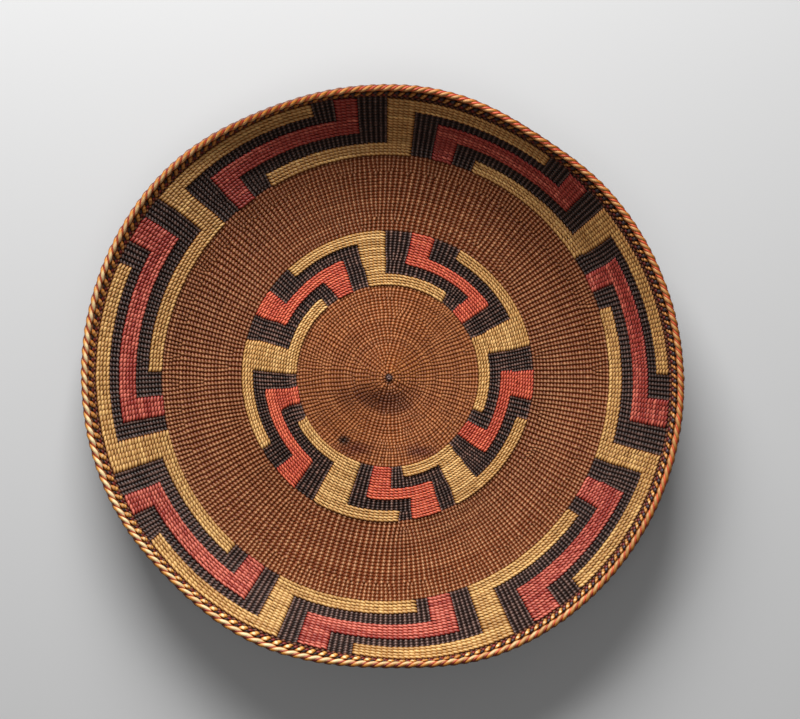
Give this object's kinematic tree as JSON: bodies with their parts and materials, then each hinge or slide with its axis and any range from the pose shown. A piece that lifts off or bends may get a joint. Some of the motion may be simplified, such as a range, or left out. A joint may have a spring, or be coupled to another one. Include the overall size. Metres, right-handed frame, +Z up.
{
  "type": "twined basketry tray",
  "caption": "Shallow round twined basketry tray with a low central boss, two dark rings of gold hooks and red steps, and a red and gold twisted edge cord.",
  "frame": {"origin": "middle of the tray's outline, on the surface that it stands on", "axes": "+Z up out of the tray's mouth, +Y towards the top of the picture, +X to its right"},
  "size_m": [0.3818, 0.3681, 0.0487],
  "materials": {
    "brown_weft": "matt brown split root, twined",
    "dark_weft": "matt blackish brown dyed root, twined",
    "warp": "matt undyed root",
    "gold_grass": "satin golden grass stem overlay",
    "red_grass": "satin red dyed grass stem overlay",
    "border": "matt red-brown root",
    "rim": "satin gold and black strands, twined over pairs of warps",
    "edge": "satin red and gold strands, twisted",
    "knot": "matt dark brown root"
  },
  "bodies": {
    "root": {"start_knot": "knot", "warps": "warp", "centre_weave_back": "brown_weft", "centre_weave_front": "brown_weft", "inner_band_back": "dark_weft", "inner_band_front": "dark_weft", "middle_weave_back": "brown_weft", "middle_weave_front": "brown_weft", "outer_band_back": "dark_weft", "outer_band_front": "dark_weft", "border_row_back": "border", "border_row_front": "border", "rim_row_back": "rim", "rim_row_front": "rim", "edge_cord": "edge", "inner_gold_1": "gold_grass", "inner_gold_2": "gold_grass", "inner_gold_3": "gold_grass", "inner_gold_4": "gold_grass", "inner_gold_5": "gold_grass", "inner_red_1": "red_grass", "inner_red_2": "red_grass", "inner_red_3": "red_grass", "inner_red_4": "red_grass", "inner_red_5": "red_grass", "outer_gold_1": "gold_grass", "outer_gold_2": "gold_grass", "outer_gold_3": "gold_grass", "outer_gold_4": "gold_grass", "outer_gold_5": "gold_grass", "outer_gold_6": "gold_grass", "outer_gold_7": "gold_grass", "outer_red_1": "red_grass", "outer_red_2": "red_grass", "outer_red_3": "red_grass", "outer_red_4": "red_grass", "outer_red_5": "red_grass", "outer_red_6": "red_grass", "outer_red_7": "red_grass"}
  },
  "joints": []
}
